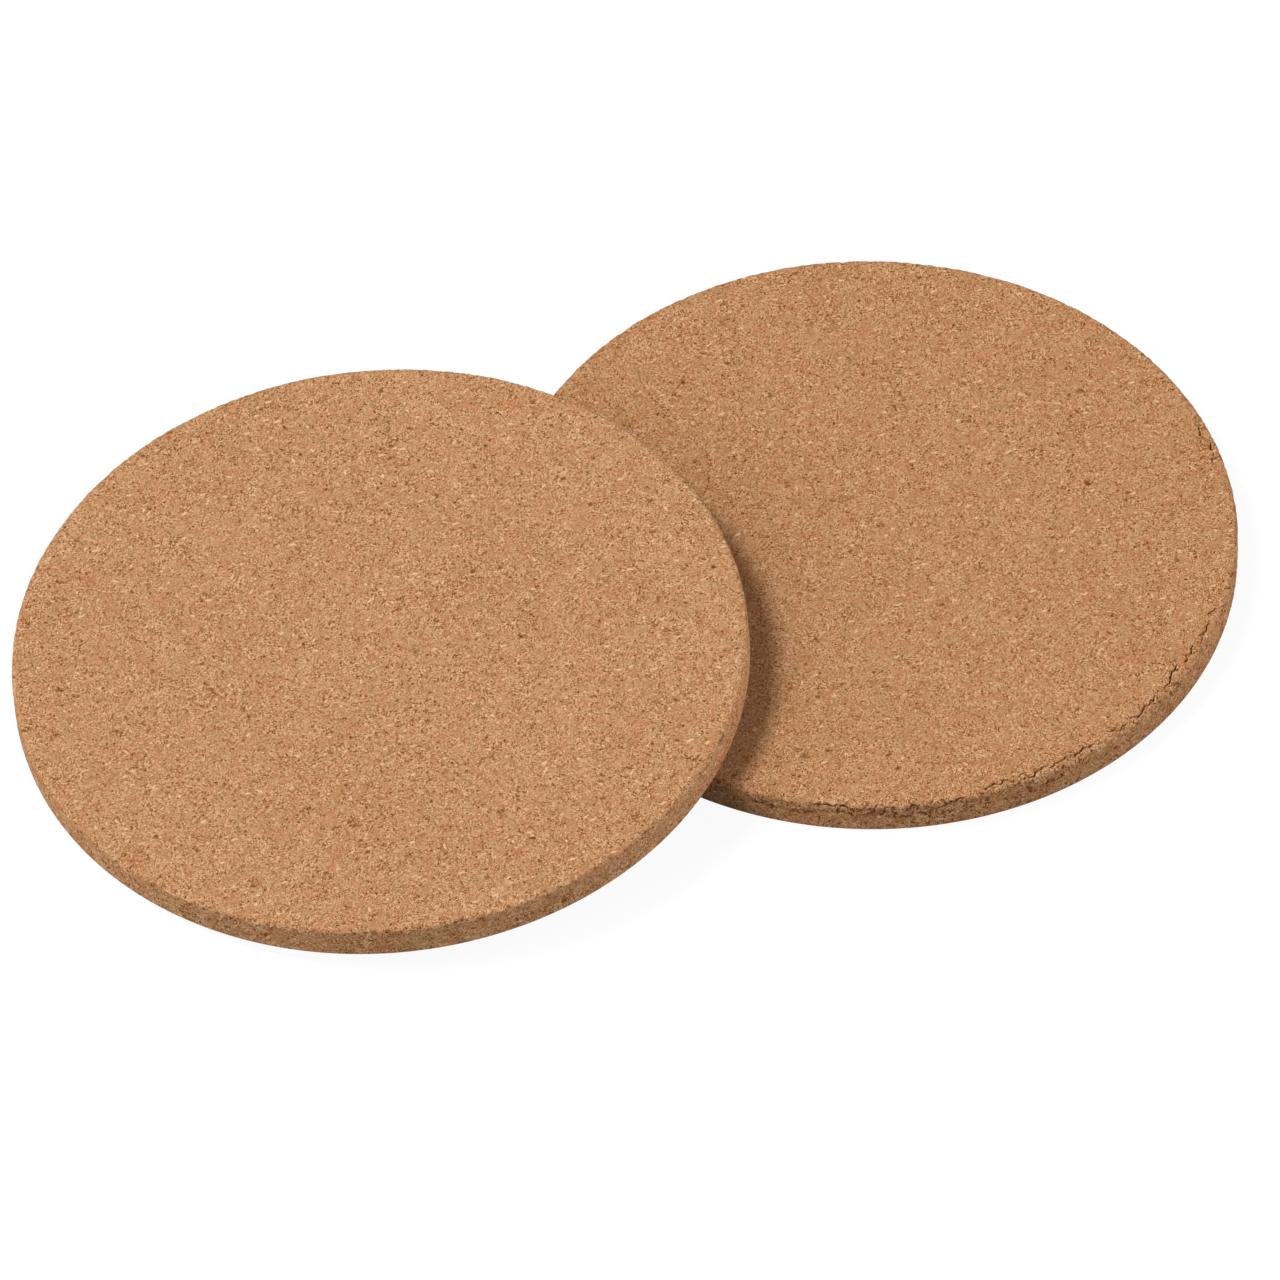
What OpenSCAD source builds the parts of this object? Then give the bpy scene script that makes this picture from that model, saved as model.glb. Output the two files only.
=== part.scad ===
// A pair of round pressed-cork trivets. One lies flat on the table. The other leans on it:
// its low edge stands on the table, and its underside rests on the flat one's rim.

/* [Trivet] */
// Diameter of each trivet
trivet_d = 200; // [120:5:300]
// Thickness of each trivet
trivet_t = 10; // [6:0.5:20]
// Rounding that eases the upper edge of the rim
top_edge_r = 1.2; // [0.4:0.1:2.5]
// Rounding that eases the lower edge of the rim
foot_edge_r = 1.2; // [0.4:0.1:2.5]

/* [Pair] */
// How far the flat trivet reaches in under the leaning one
overlap = 59; // [30:1:90]
// Clearance between the leaning underside and the rim that carries it
seat_gap = 0.2; // [0.1:0.05:0.5]

/* [Hidden] */
cork_in_light = "#c99667";
cork_in_shade = "#c08c5f";
$fn = 180;

trivet_r = trivet_d / 2;

// Each edge of the rim is rounded by a circle. These are the circles' centres,
// measured out from the trivet's axis and up from its underside.
top_circle_r = trivet_r - top_edge_r;
top_circle_z = trivet_t - top_edge_r;
foot_circle_r = trivet_r - foot_edge_r;
foot_circle_z = foot_edge_r;

// The leaning underside is a line that touches two of these circles: its own foot circle
// from below, and the flat trivet's top circle from above, with the clearance between.
circle_run = trivet_d - overlap - foot_edge_r + top_edge_r;
circle_rise = top_circle_z - foot_circle_z;
circle_span = norm([circle_run, circle_rise]);
lean = atan2(circle_rise, circle_run) + asin((foot_edge_r + top_edge_r + seat_gap) / circle_span);

// How far the leaning rim reaches out past its foot circle's centre, at the low edge
low_reach = (top_circle_r - foot_circle_r) * cos(lean) + circle_rise * sin(lean) + top_edge_r;

// The origin is on the table, under the middle of the pair's length
pair_length = low_reach + circle_run + top_circle_r + trivet_r;
foot_circle_x = low_reach - pair_length / 2;
lower_centre_x = pair_length / 2 - trivet_r;

// Half of a trivet's section, from its axis out to its rim
module half_section() {
    square([foot_circle_r, foot_edge_r]);
    translate([0, foot_circle_z])
        square([trivet_r, circle_rise]);
    translate([0, top_circle_z])
        square([top_circle_r, top_edge_r]);
    translate([foot_circle_r, foot_circle_z])
        circle(r = foot_edge_r);
    translate([top_circle_r, top_circle_z])
        circle(r = top_edge_r);
}

module trivet() {
    rotate_extrude()
        half_section();
}

module lower_trivet() {
    color(cork_in_shade)
        translate([lower_centre_x, 0, 0])
            trivet();
}

// Turned up about the foot circle of its low edge, which stays on the table
module upper_trivet() {
    color(cork_in_light)
        translate([foot_circle_x, 0, foot_circle_z])
            rotate([0, -lean, 0])
                translate([foot_circle_r, 0, -foot_circle_z])
                    trivet();
}

echo(lean = lean, pair_length = pair_length, lower_centre_x = lower_centre_x, foot_circle_x = foot_circle_x);

lower_trivet();
upper_trivet();
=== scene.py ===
"""A pair of round pressed-cork trivets: one lies flat, and the other leans on its rim."""
import math

import bpy
import numpy as np
from mathutils import Matrix, Vector
from mathutils.geometry import delaunay_2d_cdt
from mathutils.kdtree import KDTree


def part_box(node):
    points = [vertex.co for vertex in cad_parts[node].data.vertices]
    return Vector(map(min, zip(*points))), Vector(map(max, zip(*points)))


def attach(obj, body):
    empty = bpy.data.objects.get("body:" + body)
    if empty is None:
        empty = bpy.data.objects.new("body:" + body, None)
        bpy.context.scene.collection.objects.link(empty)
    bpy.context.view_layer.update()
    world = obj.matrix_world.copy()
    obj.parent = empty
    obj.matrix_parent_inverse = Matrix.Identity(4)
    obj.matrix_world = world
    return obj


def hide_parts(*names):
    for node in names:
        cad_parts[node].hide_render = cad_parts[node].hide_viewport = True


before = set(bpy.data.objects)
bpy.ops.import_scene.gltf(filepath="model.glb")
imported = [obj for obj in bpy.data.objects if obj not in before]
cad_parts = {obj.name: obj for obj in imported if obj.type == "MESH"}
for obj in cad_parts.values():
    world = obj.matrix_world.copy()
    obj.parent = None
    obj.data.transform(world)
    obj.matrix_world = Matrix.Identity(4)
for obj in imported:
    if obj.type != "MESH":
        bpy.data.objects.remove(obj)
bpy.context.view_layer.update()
MM = 0.001


# Camera
# A long lens looks down on the pair from the photograph's side, high enough to show both
# faces nearly whole, with the leaning trivet in front and to the left.
view_azimuth = math.radians(-20.28)
view_elevation = math.radians(48.35)
view_roll = math.radians(0.11)
view_distance = 8.1512
view_target = Vector((1.28, -7.51, 0.0)) * MM
sensor_width = 36.0
lens_length = 844.7
camera_far = 40.0

towards_camera = Vector((
    math.sin(view_azimuth) * math.cos(view_elevation),
    -math.cos(view_azimuth) * math.cos(view_elevation),
    math.sin(view_elevation),
))
level_right = Vector((math.cos(view_azimuth), math.sin(view_azimuth), 0.0))
level_up = towards_camera.cross(level_right)
camera_right = level_right * math.cos(view_roll) + level_up * math.sin(view_roll)
camera_up = towards_camera.cross(camera_right)

camera = bpy.data.objects.new("camera", bpy.data.cameras.new("camera"))
camera.data.sensor_width = sensor_width
camera.data.lens = lens_length
camera.data.clip_end = camera_far
turn = Matrix((camera_right, camera_up, towards_camera)).transposed().to_4x4()
camera.matrix_world = Matrix.Translation(view_target + towards_camera * view_distance) @ turn
bpy.context.scene.collection.objects.link(camera)
bpy.context.scene.camera = camera


# Floor and light
# A plain white table under one large soft light from the far left, filled from low on the left, the
# right and the near right. The camera sees the table overexposed, so shadows are faint.
floor_half = 12.0
floor_white = (0.40, 0.40, 0.40, 1.0)
floor_seen = (0.09, 0.09, 0.09, 1.0)
floor_glow = 0.93
sky_strength = 0.02
lights = [  # name, strength, azimuth it travels to, height it comes from, softness (degrees)
    ("key light", 2.4, -32.0, 55.0, 20.0),
    ("low left light", 1.7, 0.0, 25.0, 50.0),
    ("right light", 1.45, 180.0, 20.0, 50.0),
    ("near right light", 1.55, 120.0, 10.0, 60.0),
]
backdrop_strength = 1.0

scene = bpy.context.scene
scene.view_settings.view_transform = "Standard"
scene.view_settings.look = "None"

floor_mesh = bpy.data.meshes.new("floor")
floor_corners = [(-1, -1), (1, -1), (1, 1), (-1, 1)]
floor_mesh.from_pydata([(x * floor_half, y * floor_half, 0) for x, y in floor_corners], [], [(0, 1, 2, 3)])
floor = bpy.data.objects.new("floor", floor_mesh)
scene.collection.objects.link(floor)
floor_paint = bpy.data.materials.new("white table")
floor_paint.use_nodes = True
floor_shader = floor_paint.node_tree.nodes["Principled BSDF"]
floor_shader.inputs["Base Color"].default_value = floor_white
floor_shader.inputs["Roughness"].default_value = 1.0
floor_shader.inputs["Specular IOR Level"].default_value = 0.0
floor_look = floor_paint.node_tree.nodes.new("ShaderNodeBsdfPrincipled")
floor_look.inputs["Base Color"].default_value = floor_seen
floor_look.inputs["Emission Color"].default_value = (1.0, 1.0, 1.0, 1.0)
floor_look.inputs["Emission Strength"].default_value = floor_glow
floor_look.inputs["Roughness"].default_value = 1.0
floor_look.inputs["Specular IOR Level"].default_value = 0.0
floor_path = floor_paint.node_tree.nodes.new("ShaderNodeLightPath")
floor_mix = floor_paint.node_tree.nodes.new("ShaderNodeMixShader")
floor_links = floor_paint.node_tree.links
floor_links.new(floor_path.outputs["Is Camera Ray"], floor_mix.inputs[0])
floor_links.new(floor_shader.outputs[0], floor_mix.inputs[1])
floor_links.new(floor_look.outputs[0], floor_mix.inputs[2])
floor_links.new(floor_mix.outputs[0], floor_paint.node_tree.nodes["Material Output"].inputs["Surface"])
floor_mesh.materials.append(floor_paint)

for name, strength, travel_azimuth, elevation, softness in lights:
    lamp = bpy.data.objects.new(name, bpy.data.lights.new(name, "SUN"))
    lamp.data.energy = strength
    lamp.data.angle = math.radians(softness)
    along, down = math.radians(travel_azimuth), math.radians(elevation)
    travel = Vector((math.cos(along) * math.cos(down), math.sin(along) * math.cos(down), -math.sin(down)))
    lamp.rotation_euler = travel.to_track_quat("-Z", "Y").to_euler()
    scene.collection.objects.link(lamp)

surround = bpy.data.worlds.new("pale surround")
surround.use_nodes = True
scene.world = surround
sky = surround.node_tree
sky_fill = sky.nodes["Background"]
sky_fill.inputs["Color"].default_value = (1.0, 1.0, 1.0, 1.0)
sky_fill.inputs["Strength"].default_value = sky_strength
sky_backdrop = sky.nodes.new("ShaderNodeBackground")
sky_backdrop.inputs["Strength"].default_value = backdrop_strength
seen_by_camera = sky.nodes.new("ShaderNodeLightPath")
sky_mix = sky.nodes.new("ShaderNodeMixShader")
sky.links.new(seen_by_camera.outputs["Is Camera Ray"], sky_mix.inputs[0])
sky.links.new(sky_fill.outputs[0], sky_mix.inputs[1])
sky.links.new(sky_backdrop.outputs[0], sky_mix.inputs[2])
sky.links.new(sky_mix.outputs[0], sky.nodes["World Output"].inputs["Surface"])


# Cork granules
# The trivets are cork bark ground to granules about a millimetre across, pressed with a
# little binder and sanded. Granules differ in tone, and bark bits and pale flakes show.
FLOAT, VECTOR, COLOUR = "NodeSocketFloat", "NodeSocketVector", "NodeSocketColor"
full_turn = 2 * math.pi

soft_noises = {  # lumps per millimetre, finer layers, and how strong those are
    "ragged end": (2.4, 1.0, 0.5),
    "wander": (0.9, 2.0, 0.5),
    "cell": (1.9, 2.0, 0.75),
    "clump": (0.22, 2.0, 0.6),
    "cloud": (0.03, 2.0, 0.5),
    "gaping": (1.5, 1.0, 0.5),
    "hue": (0.24, 2.0, 0.65),
}
side_wander = 1.1  # how far a granule's sides stray, in millimetres
fibres_across = 2.3  # fibres, or chips, across a granule
joints_across = 1.5
joint_sides = (0.12, 0.03)  # a joint's share of its cell where it starts, and where it is fully open
gaping_places = (0.52, 0.62)  # the gaping noise where joints start to open, and are open
bit_edge = (0.54, 0.44)  # a bit's edge and inside, in times its size
bit_raggedness = 0.7

middle_tone = 0.575
tone_swings = {  # how far each kind of patch moves the tone, where 0 is dark cork and 1 is pale
    "granule": 0.20,
    "chip": 0.24,
    "fibre": 1.5,
    "cell": 0.34,
    "clump": 0.36,
    "cloud": 0.20,
    "raw clump": 0.9,
    "open joint": 1.0,
}
bits_among = [  # tone, spacing, length and width in mm, share of places taken, seed, strength, how sunk
    ("Rust", 4.0, 2.2, 1.6, 0.30, 97.0, 0.5, 0.0),
    ("Flake", 2.9, 2.1, 0.70, 0.38, 17.0, 0.75, 0.0),
    ("Bark", 2.2, 1.0, 0.52, 0.45, 41.0, 0.95, 0.7),
    ("Bark", 7.0, 2.0, 1.1, 0.3, 73.0, 0.6, 0.7),
]
tone_stops = [  # the tone where each colour starts, and where it is full
    ("Dark", -0.45, 0.0),
    ("Tan", 0.0, 0.5),
    ("Pale", 0.5, 1.0),
]
hue_patches = [  # tint, the channels of the hue noise and of the granule, where it starts and is full
    ("Rust", "Green", "Blue", 0.46, 0.72),
    ("Straw", "Blue", "Green", 0.48, 0.70),
]
hue_per_granule = 0.25
hue_share = 0.50
# how far painted shade in cracks, pits and lost granules, and the bark bits' dark tone, move the colour to
# the deep tint
shade_and_bark_share = 0.95


def wire(tree, kind, values=None, **settings):
    """A new node with its settings, its inputs set to numbers or linked from other nodes' outputs."""
    node = tree.nodes.new(kind)
    for name, value in settings.items():
        setattr(node, name, value)
    for name, value in (values or {}).items():
        if isinstance(value, bpy.types.NodeSocket):
            tree.links.new(value, node.inputs[name])
        else:
            node.inputs[name].default_value = value
    return node


def maths(tree, operation, *values):
    """The output of a Math node."""
    return wire(tree, "ShaderNodeMath", dict(enumerate(values)), operation=operation).outputs[0]


def vector_maths(tree, operation, *values, **named):
    """The vector output of a Vector Math node."""
    inputs = {**dict(enumerate(values)), **named}
    return wire(tree, "ShaderNodeVectorMath", inputs, operation=operation).outputs[0]


def centred(tree, value, amount):
    """A value from 0 to 1, scaled by amount and moved to lie evenly about 0."""
    return maths(tree, "MULTIPLY_ADD", value, amount, -amount / 2)


def share_between(tree, value, low, high):
    """0 where value is below low, 1 above high, and even between."""
    node = wire(tree, "ShaderNodeMapRange", {"Value": value, "From Min": low, "From Max": high})
    return node.outputs["Result"]


def ease_between(tree, value, low, high):
    """0 where value is below low, 1 above high, eased between. Low may be the larger of the two."""
    node = wire(
        tree, "ShaderNodeMapRange",
        {"Value": value, "From Min": low, "From Max": high},
        interpolation_type="SMOOTHSTEP",
    )
    return node.outputs["Result"]


def lumps(tree, place, kind):
    """The outputs of one of the soft noises."""
    scale, detail, roughness = soft_noises[kind]
    inputs = {"Vector": place, "Scale": scale, "Detail": detail, "Roughness": roughness}
    return wire(tree, "ShaderNodeTexNoise", inputs).outputs


def scatter(tree, place, scale, **settings):
    """The outputs of a loose 3-D scatter of cells."""
    return wire(tree, "ShaderNodeTexVoronoi", {"Vector": place, "Scale": scale}, **settings).outputs


def channels(tree, colour):
    """A colour's three channels, which here are random numbers or noises."""
    return wire(tree, "ShaderNodeSeparateColor", {"Color": colour}).outputs


def turned_in_cell(tree, place, cells, chance):
    """Place from its cell's centre, turned about an axis of the cell's own by a chance of a full turn."""
    from_centre = vector_maths(tree, "SUBTRACT", place, cells["Position"])
    axis = vector_maths(tree, "SUBTRACT", cells["Color"], (0.5, 0.5, 0.5))
    node = wire(
        tree, "ShaderNodeVectorRotate",
        {"Vector": from_centre, "Axis": axis, "Angle": maths(tree, "MULTIPLY", chance, full_turn)},
        rotation_type="AXIS_ANGLE",
    )
    return node.outputs[0]


def mixed_in(tree, base, colour, mask):
    """Base, with colour over it where mask is 1."""
    node = wire(tree, "ShaderNodeMix", data_type="RGBA")
    for socket, value in ((node.inputs[0], mask), (node.inputs[6], base), (node.inputs[7], colour)):
        tree.links.new(value, socket)
    return node.outputs[2]


def shader_group(name, inputs, outputs):
    """An empty node group, with its input and output nodes."""
    group = bpy.data.node_groups.new(name, "ShaderNodeTree")
    for label, kind, value in inputs:
        socket = group.interface.new_socket(label, in_out="INPUT", socket_type=kind)
        if value is not None:
            socket.default_value = value
    for label, kind in outputs:
        group.interface.new_socket(label, in_out="OUTPUT", socket_type=kind)
    return group, group.nodes.new("NodeGroupInput").outputs, group.nodes.new("NodeGroupOutput")


def make_scattered_bits():
    """Long bits lying at all angles, one in some cells of a loose scatter. Mask is 1 inside a bit."""
    group, given, result = shader_group(
        "scattered bits",
        [("Place", VECTOR, None), ("Spacing", FLOAT, 3.0), ("Length", FLOAT, 1.0), ("Width", FLOAT, 0.5),
         ("Share", FLOAT, 0.5), ("Seed", FLOAT, 0.0)],
        [("Mask", FLOAT)],
    )
    shift = wire(group, "ShaderNodeCombineXYZ", {"X": given["Seed"], "Y": given["Seed"]})
    place = vector_maths(group, "ADD", given["Place"], shift.outputs[0])
    cells = scatter(group, place, maths(group, "DIVIDE", 1.0, given["Spacing"]))
    turned = turned_in_cell(group, place, cells, channels(group, cells["Color"])["Red"])
    size = wire(
        group, "ShaderNodeCombineXYZ",
        {"X": given["Length"], "Y": given["Width"], "Z": given["Width"]},
    )
    shape = vector_maths(group, "DIVIDE", turned, size.outputs[0])
    reach = wire(group, "ShaderNodeVectorMath", {0: shape}, operation="LENGTH").outputs["Value"]
    ragged = lumps(group, place, "ragged end")["Fac"]
    reach = maths(group, "ADD", reach, centred(group, ragged, bit_raggedness))
    inside = ease_between(group, reach, *bit_edge)
    drawn = wire(group, "ShaderNodeTexWhiteNoise", {"Vector": cells["Position"]}, noise_dimensions="3D")
    picked = maths(group, "LESS_THAN", drawn.outputs["Value"], given["Share"])
    group.links.new(maths(group, "MULTIPLY", inside, picked), result.inputs["Mask"])
    return group


def make_pressed_cork(bits):
    """Granules of differing tone, their joints, and the bark bits, flakes and pores among them, with
    painted shade in cracks and pits. Place is in millimetres."""
    group, given, result = shader_group(
        "pressed cork",
        [("Place", VECTOR, None), ("Granule", FLOAT, 1.2), ("Raw", FLOAT, 0.0), ("Shade_and_bark", FLOAT, 0.0),
         ("Bark", COLOUR, (0.1, 0.05, 0.02, 1)), ("Dark", COLOUR, (0.3, 0.15, 0.06, 1)),
         ("Tan", COLOUR, (0.46, 0.23, 0.11, 1)), ("Pale", COLOUR, (0.62, 0.36, 0.2, 1)),
         ("Flake", COLOUR, (0.76, 0.5, 0.3, 1)), ("Rust", COLOUR, (0.5, 0.2, 0.08, 1)),
         ("Straw", COLOUR, (0.42, 0.24, 0.1, 1)), ("Shade_and_bark_tint", COLOUR, (0.12, 0.02, 0.0, 1))],
        [("Color", COLOUR), ("Roughness", FLOAT), ("Height", FLOAT)],
    )
    whole = given["Place"]
    per_granule = maths(group, "DIVIDE", 1.0, given["Granule"])
    per_fibre = maths(group, "MULTIPLY", per_granule, fibres_across)

    # Granules with ragged sides, the chips in them, and fibres along each granule's own grain
    wander = vector_maths(group, "SUBTRACT", lumps(group, whole, "wander")["Color"], (0.5, 0.5, 0.5))
    place = vector_maths(group, "ADD", whole, vector_maths(group, "SCALE", wander, Scale=side_wander))
    granules = scatter(group, place, per_granule)
    own = channels(group, granules["Color"])
    chip_own = channels(group, scatter(group, place, per_fibre)["Color"])
    grain = turned_in_cell(group, place, granules, own["Blue"])
    grain = vector_maths(group, "MULTIPLY", grain, (1.0, 2.0, 2.0))
    grain = vector_maths(group, "MULTIPLY_ADD", granules["Color"], (31.0, 31.0, 31.0), grain)
    fibre_own = channels(group, scatter(group, grain, per_fibre)["Color"])

    # Soft patches of several sizes, and joints that gape in places
    cells = lumps(group, whole, "cell")["Fac"]
    clumps = lumps(group, whole, "clump")["Fac"]
    clouds = lumps(group, whole, "cloud")["Fac"]
    per_joint = maths(group, "MULTIPLY", per_granule, joints_across)
    to_joint = scatter(group, place, per_joint, feature="DISTANCE_TO_EDGE")["Distance"]
    gaping = ease_between(group, lumps(group, whole, "gaping")["Fac"], *gaping_places)
    open_joint = maths(group, "MULTIPLY", ease_between(group, to_joint, *joint_sides), gaping)

    liveliness = maths(group, "ADD", own["Green"], 0.5)
    fibres = maths(group, "MULTIPLY", centred(group, fibre_own["Red"], tone_swings["fibre"]), liveliness)
    raw_clumps = maths(group, "MULTIPLY", centred(group, clumps, tone_swings["raw clump"]), given["Raw"])
    tone = maths(group, "ADD", middle_tone, centred(group, own["Red"], tone_swings["granule"]))
    for patch in (
        centred(group, chip_own["Red"], tone_swings["chip"]),
        fibres,
        centred(group, cells, tone_swings["cell"]),
        centred(group, clumps, tone_swings["clump"]),
        centred(group, clouds, tone_swings["cloud"]),
        maths(group, "MULTIPLY", open_joint, -tone_swings["open joint"]),
        raw_clumps,
    ):
        tone = maths(group, "ADD", tone, patch)

    colour = given["Bark"]
    for label, start, full in tone_stops:
        colour = mixed_in(group, colour, given[label], share_between(group, tone, start, full))
    hue_own = channels(group, lumps(group, whole, "hue")["Color"])
    for tint, drift, granule_drift, start, full in hue_patches:
        hue = maths(group, "ADD", hue_own[drift], centred(group, own[granule_drift], hue_per_granule))
        mask = maths(group, "MULTIPLY", ease_between(group, hue, start, full), hue_share)
        colour = mixed_in(group, colour, given[tint], mask)

    height = maths(group, "MULTIPLY", own["Red"], maths(group, "MULTIPLY_ADD", given["Raw"], 0.5, 0.25))
    height = maths(group, "MULTIPLY_ADD", cells, 1.2, height)
    height = maths(group, "MULTIPLY_ADD", open_joint, -0.5, height)
    for tint, spacing, length, width, share, seed, strength, sunk in bits_among:
        sizes = {"Spacing": spacing, "Length": length, "Width": width, "Share": share, "Seed": seed}
        here = wire(group, "ShaderNodeGroup", node_tree=bits)
        group.links.new(whole, here.inputs["Place"])
        for label, value in sizes.items():
            here.inputs[label].default_value = value
        mask = here.outputs["Mask"]
        colour = mixed_in(group, colour, given[tint], maths(group, "MULTIPLY", mask, strength))
        if sunk:
            height = maths(group, "MULTIPLY_ADD", mask, -sunk, height)
    # Painted shade: cracks, pits and lost granules are darkened towards the deep tint where the mesh marks
    # them; bark bits take their own dark tone the same way.
    shade_and_bark_mask = maths(group, "MULTIPLY", given["Shade_and_bark"], shade_and_bark_share)
    colour = mixed_in(group, colour, given["Shade_and_bark_tint"], shade_and_bark_mask)

    group.links.new(colour, result.inputs["Color"])
    group.links.new(maths(group, "MULTIPLY_ADD", cells, 0.25, 0.75), result.inputs["Roughness"])
    group.links.new(height, result.inputs["Height"])
    return group


pressed_cork = make_pressed_cork(make_scattered_bits())


def cork_finish(name, granule, tones, relief):
    """A cork material of this granule size in mm and these tones. Relief is the bump's depth in metres."""
    material = bpy.data.materials.new(name)
    material.use_nodes = True
    tree = material.node_tree
    shader = tree.nodes["Principled BSDF"]
    shader.inputs["Specular IOR Level"].default_value = 0.02
    where = wire(tree, "ShaderNodeTexCoord").outputs["Object"]
    grain = wire(tree, "ShaderNodeGroup", node_tree=pressed_cork)
    tree.links.new(vector_maths(tree, "SCALE", where, Scale=1 / MM), grain.inputs["Place"])
    # Raw marks the rim's wall; the second attribute is painted shade in cracks, pits and lost granules, and
    # the bark bits' dark tone.
    for label in ("Raw", "Shade_and_bark"):
        measure = wire(tree, "ShaderNodeAttribute", attribute_name=label.lower())
        tree.links.new(measure.outputs["Fac"], grain.inputs[label])
    grain.inputs["Granule"].default_value = granule
    for label, colour in tones.items():
        grain.inputs[label].default_value = (*colour, 1.0)
    bump = wire(tree, "ShaderNodeBump", {"Height": grain.outputs["Height"], "Distance": relief})
    tree.links.new(grain.outputs["Color"], shader.inputs["Base Color"])
    tree.links.new(grain.outputs["Roughness"], shader.inputs["Roughness"])
    tree.links.new(bump.outputs["Normal"], shader.inputs["Normal"])
    return material


# Flat trivet
# A disc punched from a pressed cork slab and sanded. Its rim is crumbly: granules have come
# out, and short cracks run along the edge where the slab was cut.
disc_radius = 100.0
disc_thickness = 10.0
nominal_easing = 1.2
foot_easing = 1.2
mesh_step = {"face": 1.05, "rim": 0.5, "underside": 2.6}
rim_band = 9.0
granule_size = 1.25
granule_relief = 0.00008

face_end = disc_radius - rim_band
corner_lengths = (nominal_easing + foot_easing) * math.pi / 2
section_length = disc_radius + disc_thickness - 2 * (nominal_easing + foot_easing) + corner_lengths

crack_reach = (2.5, 6.5)  # degrees that one crack of a run covers
crack_break = (0.3, 1.2)  # degrees of whole cork between two cracks of a run
crack_stop = 1.3  # degrees from one turn of a crack to its next
crack_kink = 0.9  # millimetres between the small kinks
crack_wander = 0.42  # how far a kink strays
crack_clearance = 0.42  # how near a crack the plain mesh points come
crack_step = 0.2  # millimetres between the points along a crack
crack_taper = 1.5  # millimetres over which a crack's ends close
narrowest_half = 0.09
lip_slump = 0.22  # how far the rim side of a crack has slumped
lip_reach = 1.2  # how far from the crack that slump reaches
crack_painted_shade = 2.2  # painted shade: how much darker a crack is painted for each millimetre of depth
crumb_size = (0.16, 0.38)
# painted shade in the crumbled pits along a crack
crumb_painted_shade = 0.8
bark_bits_out = 0.95  # how far out the bark bits lie, as a share of the disc's radius
bark_bit_length = (0.9, 2.2)
bark_bit_slimness = (0.4, 0.8)  # width as a share of the length
bark_bit_dark = (0.4, 0.85)
bark_bit_depth = 0.15
small_pits = 60
small_pits_out = 0.985
small_pit_size = (0.25, 0.6)
# painted shade in the small pits
small_pit_shade = (0.3, 0.8)
pit_clearance = 0.2  # how near a pit's lip the plain mesh points come
steep_walls = 2.2  # how steeply a crack's or pit's sides fall

rim_granule = 1.35  # size of the granules that stand proud at the rim
rim_joint = 0.12  # width of the joints between them, as a share of their size
corner_band = 1.8  # how far from the edge's corner the face is crumbly too
lost_granule = 1.0
lost_depth = 4.0  # depth that a lost granule leaves, in times the rim's relief
# painted shade in the hole that a lost granule leaves
lost_granule_shade = 0.32
unevenness = 0.05  # soft waves in the surface, most at the corner
uneven_size = 7.0

# Runs of cracks along the rim: the degrees round the disc that a run goes from and
# to, how far in from the face's edge it lies (below 0 is down the rim), how far it strays from there,
# its cracks' width and depth, all in millimetres, and its crumbled pits per millimetre. A run of pits
# alone has no width.
crack_runs = [
    (-129, -102, -4.0, 1.2, 0.40, 1.2, 0.4),
    (-120, -96, -2.0, 1.6, 0.40, 1.2, 0.2),
    (-109, -96, -5.0, 0.9, 0.0, 0.0, 2.0),
    (-92, -72, 1.0, 0.7, 0.35, 1.1, 0.1),
    (-85, -73, -4.0, 0.6, 0.0, 0.0, 1.0),
    (-72, -63, -5.0, 0.8, 0.45, 1.2, 0.1),
    (-69, -57, 1.0, 0.8, 0.30, 1.0, 0.1),
    (-58, -47, -5.5, 0.6, 0.30, 1.0, 0.1),
    (-56, -37, 1.5, 1.0, 0.26, 0.9, 0.1),
    (-5, 6, 1.5, 0.9, 0.24, 0.8, 0.1),
]
flat_bark_bits = 22


def hashed(cell, seed):
    """Six random numbers from 0 to 1 for each whole-number cell."""
    mixed = (cell[:, 0] * 73856093) ^ (cell[:, 1] * 19349663) ^ (cell[:, 2] * 83492791)
    mixed = mixed ^ (seed * 2654435761)
    rolls = []
    for turn_number in range(6):
        mixed = (mixed * 6364136223846793005 + 1442695040888963407 + turn_number) & 0x7FFFFFFFFFFFFFFF
        rolls.append(((mixed >> 24) & 0xFFFFFF) / float(0x1000000))
    return np.stack(rolls, 1)


def cell_noise(points, size, seed):
    """Distance to the nearest of a loose scatter of centres, how much further the next one is, and
    three random numbers that belong to the nearest, for each 3-D point."""
    scaled = points / size
    base = np.floor(scaled).astype(np.int64)
    nearest = np.full(len(points), 9.0)
    second = np.full(len(points), 9.0)
    drawn = np.zeros((len(points), 3))
    for dx in (-1, 0, 1):
        for dy in (-1, 0, 1):
            for dz in (-1, 0, 1):
                cell = base + (dx, dy, dz)
                rolls = hashed(cell, seed)
                away = np.linalg.norm(cell + rolls[:, :3] - scaled, axis=1)
                closer = away < nearest
                second = np.where(closer, nearest, np.minimum(second, away))
                nearest = np.where(closer, away, nearest)
                drawn[closer] = rolls[closer, 3:]
    return nearest, second - nearest, drawn


def smooth_noise(points, size, seed):
    """Soft lumps about size across, from -1 to 1."""
    scaled = points / size
    base = np.floor(scaled).astype(np.int64)
    part = scaled - base
    part = part * part * (3 - 2 * part)
    total = np.zeros(len(points))
    for corner in range(8):
        step = np.array([corner & 1, (corner >> 1) & 1, corner >> 2])
        weight = np.prod(np.where(step, part, 1 - part), axis=1)
        total += weight * (hashed(base + step, seed)[:, 0] * 2 - 1)
    return total


def bump_about(angles, middle, spread):
    """1 where the angles are at middle, falling away smoothly over spread. All in radians."""
    off = np.angle(np.exp(1j * (angles - middle)))
    return np.exp(-(off / spread) ** 2)


def around_axis(angle, out):
    """The point at this angle and this far from the axis."""
    return np.array([out * math.cos(angle), out * math.sin(angle)])


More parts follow.
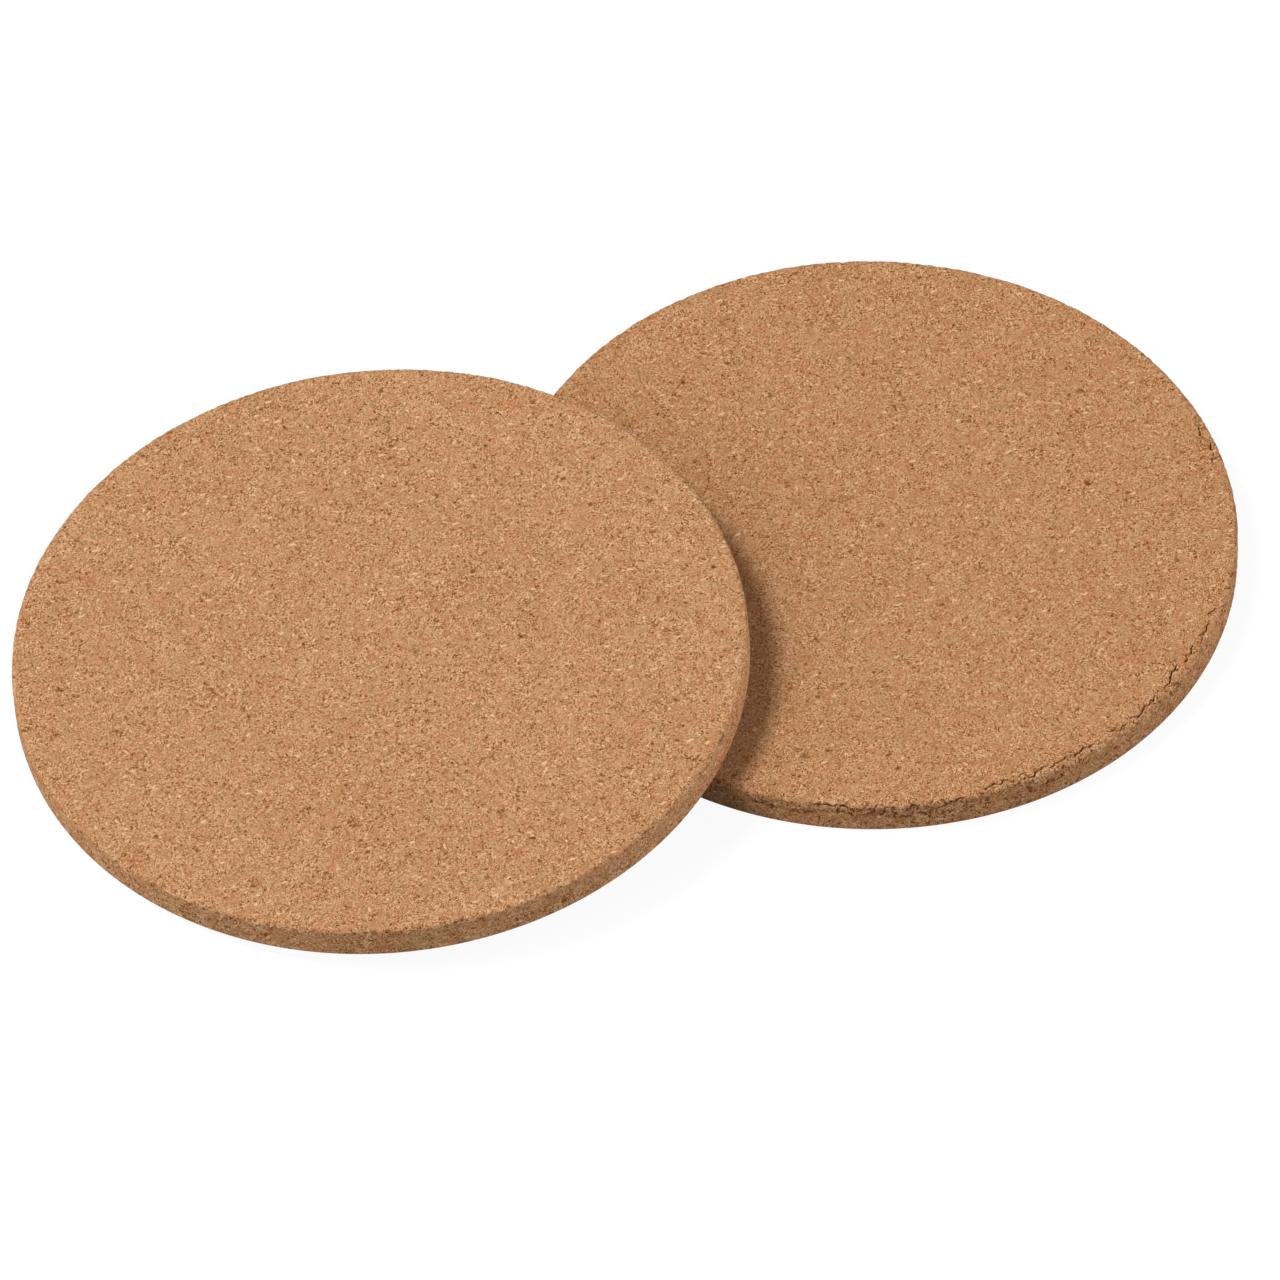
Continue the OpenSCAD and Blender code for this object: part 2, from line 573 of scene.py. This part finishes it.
def face_spacing(radius):
    """The sheet's mesh spacing, which closes up from the face to the rim."""
    if radius < face_end:
        return mesh_step["face"]
    to_face = max(0, 1 - (radius - face_end) / 3)
    return mesh_step["rim"] + (mesh_step["face"] - mesh_step["rim"]) * to_face


def under_spacing(radius):
    """The underside's mesh spacing, which closes up towards its edge."""
    to_edge = (radius / disc_radius) ** 6
    return mesh_step["underside"] - (mesh_step["underside"] - mesh_step["rim"]) * to_edge


def rings(first, last, spacing_at, rng):
    """Points on rings about the axis, first to last from it. Each ring is turned at random, so that
    they mesh evenly."""
    points, radius = [], first
    while radius < last:
        spacing = spacing_at(radius)
        count = max(1, round(full_turn * radius / spacing))
        angles = (np.arange(count) + rng.random()) * (full_turn / count)
        wobble = radius + spacing * rng.uniform(-0.15, 0.15, count)
        points.append(np.stack([wobble * np.cos(angles), wobble * np.sin(angles)], 1))
        radius += spacing * math.sqrt(0.75)
    return np.concatenate(points)


def triangulated(inner, outer):
    """Points and triangles of a round sheet. The outer ring's points come last and in order."""
    points = np.concatenate([inner, outer])
    found = delaunay_2d_cdt([Vector(p) for p in points], [], [], 0, 1e-7)
    order = np.full(len(found[0]), -1)
    for new, olds in enumerate(found[3]):
        order[new] = olds[0]
    made = np.array([list(p) for p in found[0]])
    moved = np.argsort(order, kind="stable")
    place_of = np.empty(len(moved), int)
    place_of[moved] = np.arange(len(moved))
    return made[moved], place_of[np.array(found[2])]


def nearest_to(centres, points):
    """Index of, and distance to, the nearest centre for each point."""
    tree = KDTree(len(centres))
    for i, centre in enumerate(centres):
        tree.insert((centre[0], centre[1], 0), i)
    tree.balance()
    found = [tree.find((x, y, 0))[1:] for x, y in points]
    return np.array([f[0] for f in found]), np.array([f[1] for f in found])


def section(run, easing):
    """A point of the half section, run along it from the axis over the face, the eased edge and the rim.
    Returns its radius, its height, and its normal's lean from straight up. easing is the edge's radius."""
    flat = disc_radius - easing
    corner = easing * math.pi / 2
    rim = disc_thickness - easing - foot_easing
    on_corner = np.clip((run - flat) / easing, 0, math.pi / 2)
    on_foot = np.clip((run - flat - corner - rim) / foot_easing, 0, math.pi / 2)
    down = np.clip(run - flat - corner, 0, rim)
    radius = np.minimum(run, flat) + easing * np.sin(on_corner) - foot_easing * (1 - np.cos(on_foot))
    height = disc_thickness - easing * (1 - np.cos(on_corner)) - down - foot_easing * np.sin(on_foot)
    return radius, height, on_corner + on_foot


def cracks_along(runs, rng):
    """Each run broken into single cracks: a crack's stops, width, depth and crumbled pits per mm."""
    cracks = []
    for first, last, inset, stray, width, depth, crumbs in runs:
        start = first
        while start < last - crack_stop:
            end = min(start + rng.uniform(*crack_reach), last)
            degrees = np.linspace(start, end, max(2, round((end - start) / crack_stop) + 1))
            insets = inset + rng.uniform(-stray, stray, len(degrees))
            cracks.append((list(zip(degrees, insets)), width * rng.uniform(0.75, 1.25), depth, crumbs))
            start = end + rng.uniform(*crack_break)
    return cracks


def crack_line(stops, rng):
    """Points close together along a crack with small kinks, in the unrolled face."""
    corners = []
    for degrees, inset in stops:
        corners.append(around_axis(math.radians(degrees), disc_radius - nominal_easing - inset))
    corners = np.array(corners)
    zigzag = [corners[0]]
    for start, end in zip(corners[:-1], corners[1:]):
        kinks = max(1, round(np.linalg.norm(end - start) / crack_kink))
        for i in range(1, kinks + 1):
            stray = rng.normal(0, crack_wander, 2)
            zigzag.append(start + (end - start) * i / kinks + stray * (i < kinks or 0.4))
    zigzag = np.array(zigzag)
    lengths = np.concatenate([[0], np.cumsum(np.linalg.norm(np.diff(zigzag, axis=0), axis=1))])
    stations = np.arange(0, lengths[-1], crack_step)
    return np.stack([np.interp(stations, lengths, zigzag[:, k]) for k in (0, 1)], 1)


def cut_cracks(runs, rng):
    """Each crack's points with their half widths and depths, and the crumbled pits: centre, radius, depth
    and how much painted shade darkens them."""
    cracks, pits = [], []
    for stops, width, depth, crumbs in cracks_along(runs, rng):
        line = crack_line(stops, rng)
        for _ in range(round(len(line) * crack_step * crumbs)):
            size = rng.uniform(*crumb_size)
            centre = line[rng.integers(len(line))] + rng.normal(0, 0.4, 2)
            pits.append((centre, size, rng.uniform(0.5, 1.0) * size + 0.2, crumb_painted_shade))
        if not width:
            continue
        along = np.linspace(0, 1, len(line))
        from_end = np.minimum(along, 1 - along) * len(line) * crack_step
        taper = np.clip(from_end / crack_taper, 0.3, 1)
        knots = np.arange(0, len(line) + 4, 4)
        taper = taper * np.interp(np.arange(len(line)), knots, rng.uniform(0.6, 1.4, len(knots)))
        cracks.append((line, width / 2 * taper + narrowest_half, depth * taper))
    return cracks, pits


def across_crack(line, half):
    """Five rows of mesh points along a crack, from one lip to the other."""
    heading = np.gradient(line, axis=0)
    heading /= np.linalg.norm(heading, axis=1)[:, None] + 1e-9
    side = np.stack([-heading[:, 1], heading[:, 0]], 1)
    return [line + side * (half * share)[:, None] for share in (-1.0, -0.55, 0.0, 0.55, 1.0)]


def scattered_pits(bark_bits, rng):
    """The larger bark bits, each a row of shallow overlapping pits in their own dark tone, and small plain
    pits with painted shade.
    """
    pits = []
    for _ in range(bark_bits):
        out, around = disc_radius * bark_bits_out * math.sqrt(rng.random()), rng.uniform(0, full_turn)
        length, turned = rng.uniform(*bark_bit_length), rng.uniform(0, math.pi)
        width, dark = length * rng.uniform(*bark_bit_slimness), rng.uniform(*bark_bit_dark)
        count = max(1, round(1.6 * length / width))
        for shift in (np.arange(count) - (count - 1) / 2) * (length - width) / max(1, count - 1):
            centre = around_axis(around, out) + around_axis(turned, shift) + rng.normal(0, 0.1 * width, 2)
            pits.append((centre, width / 2 * rng.uniform(0.8, 1.2), bark_bit_depth, dark))
    for _ in range(small_pits):
        out, around = disc_radius * small_pits_out * math.sqrt(rng.random()), rng.uniform(0, full_turn)
        size = rng.uniform(*small_pit_size)
        depth = rng.uniform(0.35, 0.7) * size + 0.1
        pits.append((around_axis(around, out), size, depth, rng.uniform(*small_pit_shade)))
    return pits


def around_pit(centre, reach, rng):
    """Mesh points at a pit's middle, on its slope and round its lip."""
    rows = []
    for share, count in ((0.0, 1), (0.7, 6), (1.0, 9)):
        angles = (np.arange(count) + rng.random()) * full_turn / count
        arms = reach * share * rng.uniform(0.8, 1.2, count)
        rows.append(centre + np.stack([arms * np.cos(angles), arms * np.sin(angles)], 1))
    return rows


def crumbled_rim(local, lean, run, around, seed, rim_relief, lost_share, crumble):
    """How raw each point's surface is, how far it is sunk as its granule is low or lost, and how much
    painted shade darkens the hole that leaves."""
    raw = np.clip(lean / 0.9, 0, 1)
    near_corner = np.exp(-((run - (disc_radius - nominal_easing / 2)) / corner_band) ** 2)
    _, joint, drawn = cell_noise(local, rim_granule, seed)
    stand = rim_relief * (0.25 * near_corner + 0.8 * raw)
    sunk = stand * drawn[:, 0] + stand * 0.9 * np.clip(1 - joint / rim_joint, 0, 1)
    away, _, drawn = cell_noise(local, lost_granule, seed + 1)
    chance = lost_share * crumble(around) * (0.5 * near_corner + raw)
    lost = (drawn[:, 1] < chance) * np.clip(1.25 - 1.6 * away, 0, 1)
    sunk += lost * rim_relief * lost_depth * (0.5 + drawn[:, 2])
    sunk += unevenness * (1 + smooth_noise(local, uneven_size, seed + 3)) * (0.3 + near_corner)
    return raw, sunk, np.clip(lost * 1.4, 0, 1) * lost_granule_shade


def cork_disc(name, seed, edge_wear, crumble, rim_relief, lost_share, runs, bark_bits, place):
    """One trivet as a closed mesh. The face, edge and rim are one triangulated sheet, unrolled about the
    axis, and the underside closes it. Granules stand proud or are lost at the rim, and cracks and pits
    are cut in."""
    rng = np.random.default_rng(seed)
    sheet = rings(mesh_step["face"] / 2, section_length - mesh_step["rim"] / 2, face_spacing, rng)
    cracks, pits = cut_cracks(runs, rng)
    pits += scattered_pits(bark_bits, rng)
    extra = [row for line, half, _ in cracks for row in across_crack(line, half)]
    for centre, reach, _, _ in pits:
        extra += around_pit(centre, reach, rng)
    pit_centres, pit_radii, pit_depths, pit_shades_and_tones = (np.array(v) for v in zip(*pits))
    if cracks:
        crack_points, crack_halves, crack_depths = (np.concatenate(v) for v in zip(*cracks))
        _, gap = nearest_to(crack_points, sheet)
        sheet = sheet[gap > crack_clearance]
    which, gap = nearest_to(pit_centres, sheet)
    sheet = sheet[gap > pit_radii[which] + pit_clearance]

    edge_count = round(full_turn * disc_radius / mesh_step["rim"])
    edge_angles = np.arange(edge_count) * full_turn / edge_count
    edge = np.stack([np.cos(edge_angles), np.sin(edge_angles)], 1)
    sheet = np.concatenate([sheet, *extra])
    sheet = sheet[np.linalg.norm(sheet, axis=1) < section_length - 0.2]
    top_points, top_faces = triangulated(sheet, edge * section_length)
    underside = rings(1.0, disc_radius - foot_easing - mesh_step["rim"], under_spacing, rng)
    under_points, under_faces = triangulated(underside, edge * (disc_radius - foot_easing))

    # Roll the sheet over the edge. Where wear has rounded the edge the section is shorter, so the
    # band by the rim is drawn in.
    run = np.linalg.norm(top_points, axis=1)
    around = np.arctan2(top_points[:, 1], top_points[:, 0])
    outward = np.stack([np.cos(around), np.sin(around)], 1)
    circle = np.column_stack([outward * disc_radius, np.zeros(len(run))])
    easing = nominal_easing + edge_wear(around, circle)
    shorter = (easing - nominal_easing) * (2 - math.pi / 2)
    drawn_in = face_end + (run - face_end) * (1 - shorter / (section_length - face_end))
    radius, height, lean = section(np.where(run > face_end, drawn_in, run), easing)
    local = np.column_stack([outward * radius[:, None], height])

    raw, sunk, shade_and_bark = crumbled_rim(local, lean, run, around, seed, rim_relief, lost_share, crumble)
    if cracks:
        which, gap = nearest_to(crack_points, top_points)
        cut = crack_depths[which] * np.clip(steep_walls * (1 - gap / crack_halves[which]), 0, 1)
        outside = run > np.linalg.norm(crack_points[which], axis=1)
        sunk += cut + outside * lip_slump * np.exp(-gap / lip_reach)
        # Painted shade: a crack is painted darker the deeper it is cut.
        shade_and_bark = np.maximum(shade_and_bark, np.clip(cut * crack_painted_shade, 0, 1))
    which, gap = nearest_to(pit_centres, top_points)
    dip = np.clip(steep_walls * (1 - (gap / pit_radii[which]) ** 2), 0, 1)
    sunk += pit_depths[which] * dip
    # Pits get painted shade; bark bits get their own darker tone the same way.
    shade_and_bark = np.maximum(shade_and_bark, pit_shades_and_tones[which] * dip)

    sunk *= np.clip(section_length - run, 0, 1)
    local[:, :2] -= outward * (np.sin(lean) * sunk)[:, None]
    local[:, 2] -= np.cos(lean) * sunk
    local[:, 2] = np.maximum(local[:, 2], 0)

    # The underside's outer ring is the sheet's outer ring, so its points are shared
    first_edge, first_under = len(top_points) - edge_count, len(under_points) - edge_count
    under_local = np.column_stack([under_points[:first_under], np.zeros(first_under)])
    renumber = np.concatenate([
        np.arange(first_under) + len(top_points),
        np.arange(edge_count) + first_edge,
    ])
    points = np.concatenate([local, under_local])
    faces = np.concatenate([top_faces, renumber[under_faces][:, ::-1]])

    world = points @ np.array(place.to_3x3()).T * MM + np.array(place.translation)
    mesh = bpy.data.meshes.new(name)
    mesh.from_pydata(world, [], faces.tolist())
    mesh.polygons.foreach_set("use_smooth", np.ones(len(faces), bool))
    # The second attribute carries painted shade in cracks, pits and lost granules, and the bark bits' dark
    # tone.
    for label, values in (("raw", raw), ("shade_and_bark", shade_and_bark)):
        attribute = mesh.attributes.new(label, "FLOAT", "POINT")
        padded = np.concatenate([values, np.zeros(first_under)])
        attribute.data.foreach_set("value", padded.astype(np.float32))
    mesh.update()
    piece = bpy.data.objects.new(name, mesh)
    bpy.context.scene.collection.objects.link(piece)
    return piece


def worn_edge(around, circle):
    """How much rounder than new the flat trivet's edge is, most on its near right side."""
    worn_side = bump_about(around, math.radians(-63), math.radians(19))
    return 1.1 * worn_side + 0.15 * (1 + smooth_noise(circle, 9.0, 5))


def crumbly_side(around):
    """How many times as many granules are lost from the flat trivet's rim. The near side is worst."""
    worst = math.radians(-103)
    near_side = 0.4 + 0.3 * (1 - np.sin(around))
    worst_side = 3.0 * bump_about(around, worst, math.radians(20))
    return near_side + worst_side + 0.7 * bump_about(around, worst + 0.8, 0.6)


low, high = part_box("lower_trivet")
flat_place = Matrix.Translation(((low.x + high.x) / 2, (low.y + high.y) / 2, low.z))
flat_trivet = cork_disc(
    "cork_trivet_flat", seed=11, edge_wear=worn_edge, crumble=crumbly_side, rim_relief=0.20,
    lost_share=0.06, runs=crack_runs, bark_bits=flat_bark_bits, place=flat_place,
)
flat_tones = {
    "Bark": (0.152, 0.037, 0.0),
    "Dark": (0.246, 0.090, 0.016),
    "Tan": (0.464, 0.225, 0.098),
    "Pale": (0.678, 0.402, 0.226),
    "Flake": (0.772, 0.494, 0.296),
    "Rust": (0.480, 0.190, 0.080),
    "Straw": (0.445, 0.248, 0.106),
    # The deep tint is painted shade in cracks, pits and lost granules, and the bark bits' darkest tone.
    "Shade_and_bark_tint": (0.110, 0.016, 0.0),
}
flat_trivet.data.materials.append(cork_finish("flat trivet cork", granule_size, flat_tones, granule_relief))
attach(flat_trivet, "lower")
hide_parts("lower_trivet")


# Leaning trivet
# The same disc with a tidier rim. Its low edge stands on the table, and its underside rests
# on the flat trivet's rim, which tips it up towards the right.
low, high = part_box("upper_trivet")
rim_span = 2 * disc_radius - nominal_easing - foot_easing
rim_rise = disc_thickness - nominal_easing - foot_easing
reach = math.hypot(rim_span, rim_rise)
tip = math.asin((high.z / MM - nominal_easing - foot_easing) / reach) - math.atan2(rim_rise, rim_span)
foot_in = disc_radius - foot_easing
foot_to_left = rim_rise * math.sin(tip) + nominal_easing
leaning_place = (
    Matrix.Translation((low.x + foot_to_left * MM, (low.y + high.y) / 2, foot_easing * MM))
    @ Matrix.Rotation(-tip, 4, "Y")
    @ Matrix.Translation((foot_in * MM, 0, -foot_easing * MM))
)


def tidy_edge(around, circle):
    """How much rounder than new the leaning trivet's edge is."""
    return 0.10 * (1 + smooth_noise(circle, 9.0, 8))


def low_side(around):
    """How many times as many granules are lost from the leaning trivet's rim. Its near left is worst."""
    near_side = 0.4 + 0.3 * (1 - np.sin(around))
    return near_side + 1.6 * bump_about(around, math.radians(-125), math.radians(30))


leaning_bark_bits = 26
leaning_trivet = cork_disc(
    "cork_trivet_leaning", seed=23, edge_wear=tidy_edge, crumble=low_side, rim_relief=0.16,
    lost_share=0.05, runs=[], bark_bits=leaning_bark_bits, place=leaning_place,
)
leaning_tones = {
    "Bark": (0.152, 0.037, 0.0),
    "Dark": (0.258, 0.098, 0.019),
    "Tan": (0.482, 0.238, 0.107),
    "Pale": (0.700, 0.424, 0.243),
    "Flake": (0.802, 0.524, 0.324),
    "Rust": (0.498, 0.205, 0.088),
    "Straw": (0.462, 0.263, 0.116),
    # The deep tint is painted shade in cracks, pits and lost granules, and the bark bits' darkest tone.
    "Shade_and_bark_tint": (0.110, 0.016, 0.0),
}
leaning_cork = cork_finish("leaning trivet cork", granule_size, leaning_tones, granule_relief)
leaning_trivet.data.materials.append(leaning_cork)
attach(leaning_trivet, "upper")
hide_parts("upper_trivet")
